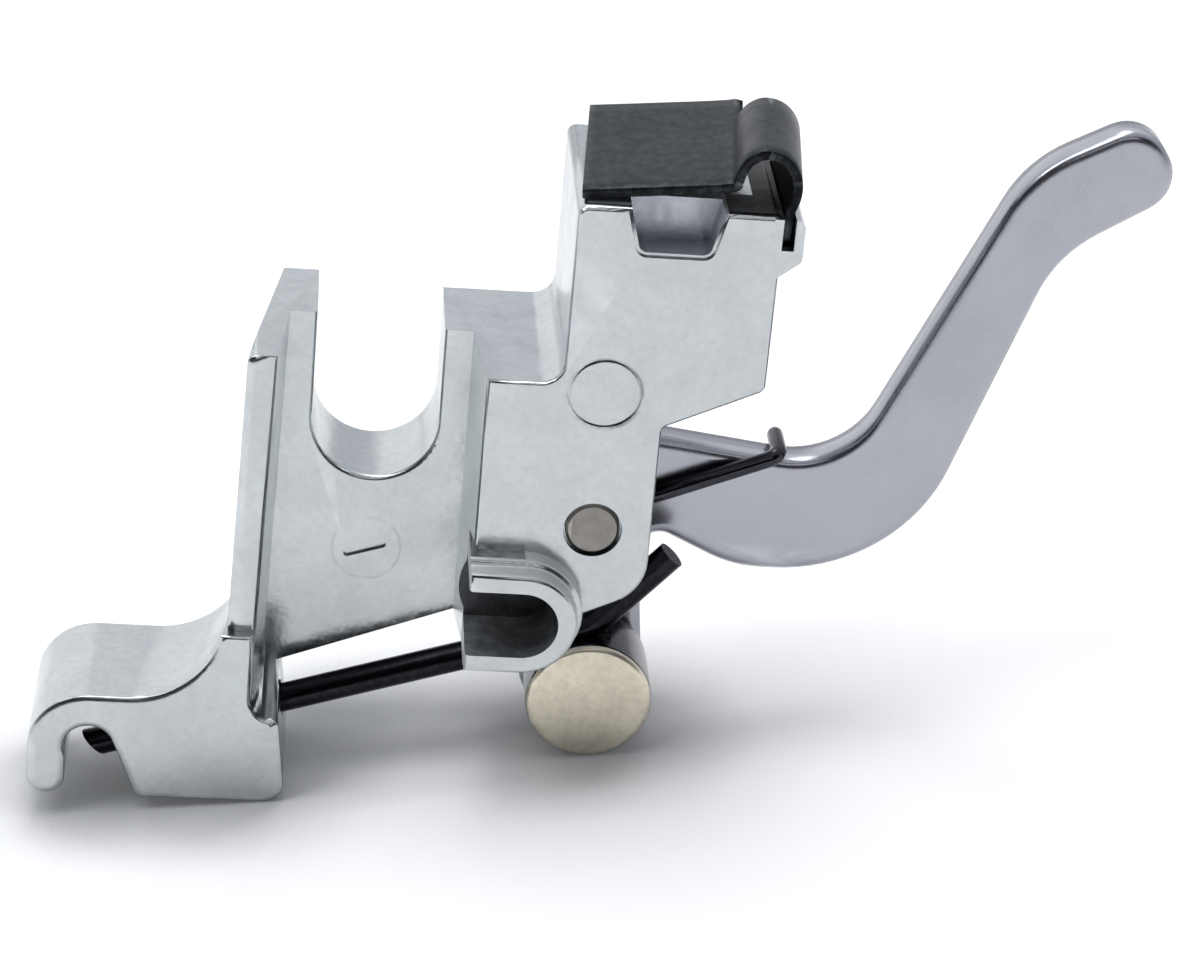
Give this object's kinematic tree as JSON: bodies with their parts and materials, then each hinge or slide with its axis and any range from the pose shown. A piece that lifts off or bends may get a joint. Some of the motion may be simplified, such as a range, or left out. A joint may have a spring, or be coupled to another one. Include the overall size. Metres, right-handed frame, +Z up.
{
  "type": "sewing machine presser foot holder",
  "caption": "Cast clip-on presser foot holder with a screw slot, a hook for the foot's cross pin and a sprung release lever that pulls back a latch rod.",
  "frame": {"origin": "under the lever's pivot, level with the flat underside of the hook block, on the middle plane of the casting's width", "axes": "+X from the hook towards the lever's handle, +Y from the channel side towards the side the clamping screw goes in, +Z up along the presser bar"},
  "size_m": [0.0426, 0.0104, 0.0282],
  "materials": {
    "casting": "plated casting, polished, lightly stained",
    "pin_steel": "turned end",
    "lever_plate": "plated stamping, polished",
    "blued_wire": "blued, glossy",
    "stud_steel": "nickel, turned",
    "spring_leaf": "dark spring steel",
    "spring_wire": "black spring wire, glossy"
  },
  "bodies": {
    "holder": {"holder_body": "casting", "pivot_pin": "pin_steel", "leaf_spring": "spring_leaf", "torsion_spring": "spring_wire"},
    "lever": {"release_lever": "lever_plate"},
    "latch": {"latch_rod": "blued_wire", "stud": "stud_steel"}
  },
  "joints": [
    {"name": "lever_hinge", "type": "hinge", "parent": "holder", "child": "lever", "pos_m": [0, 0.00205, 0.0124], "axis": [0, -1, 0], "range_deg": [0, 15], "stiffness_Nm_per_rad": 0.004, "springref_deg": -22.92, "deforming": ["torsion_spring"]},
    {"name": "latch_swivel", "type": "hinge", "parent": "lever", "child": "latch", "pos_m": [0.00062, 0.00205, 0.00405], "axis": [0, -1, 0], "range_deg": [-16.2, 0]}
  ],
  "couplings": [
    {"joint": "latch_swivel", "follows": "lever_hinge", "ratio": -1.0722}
  ]
}
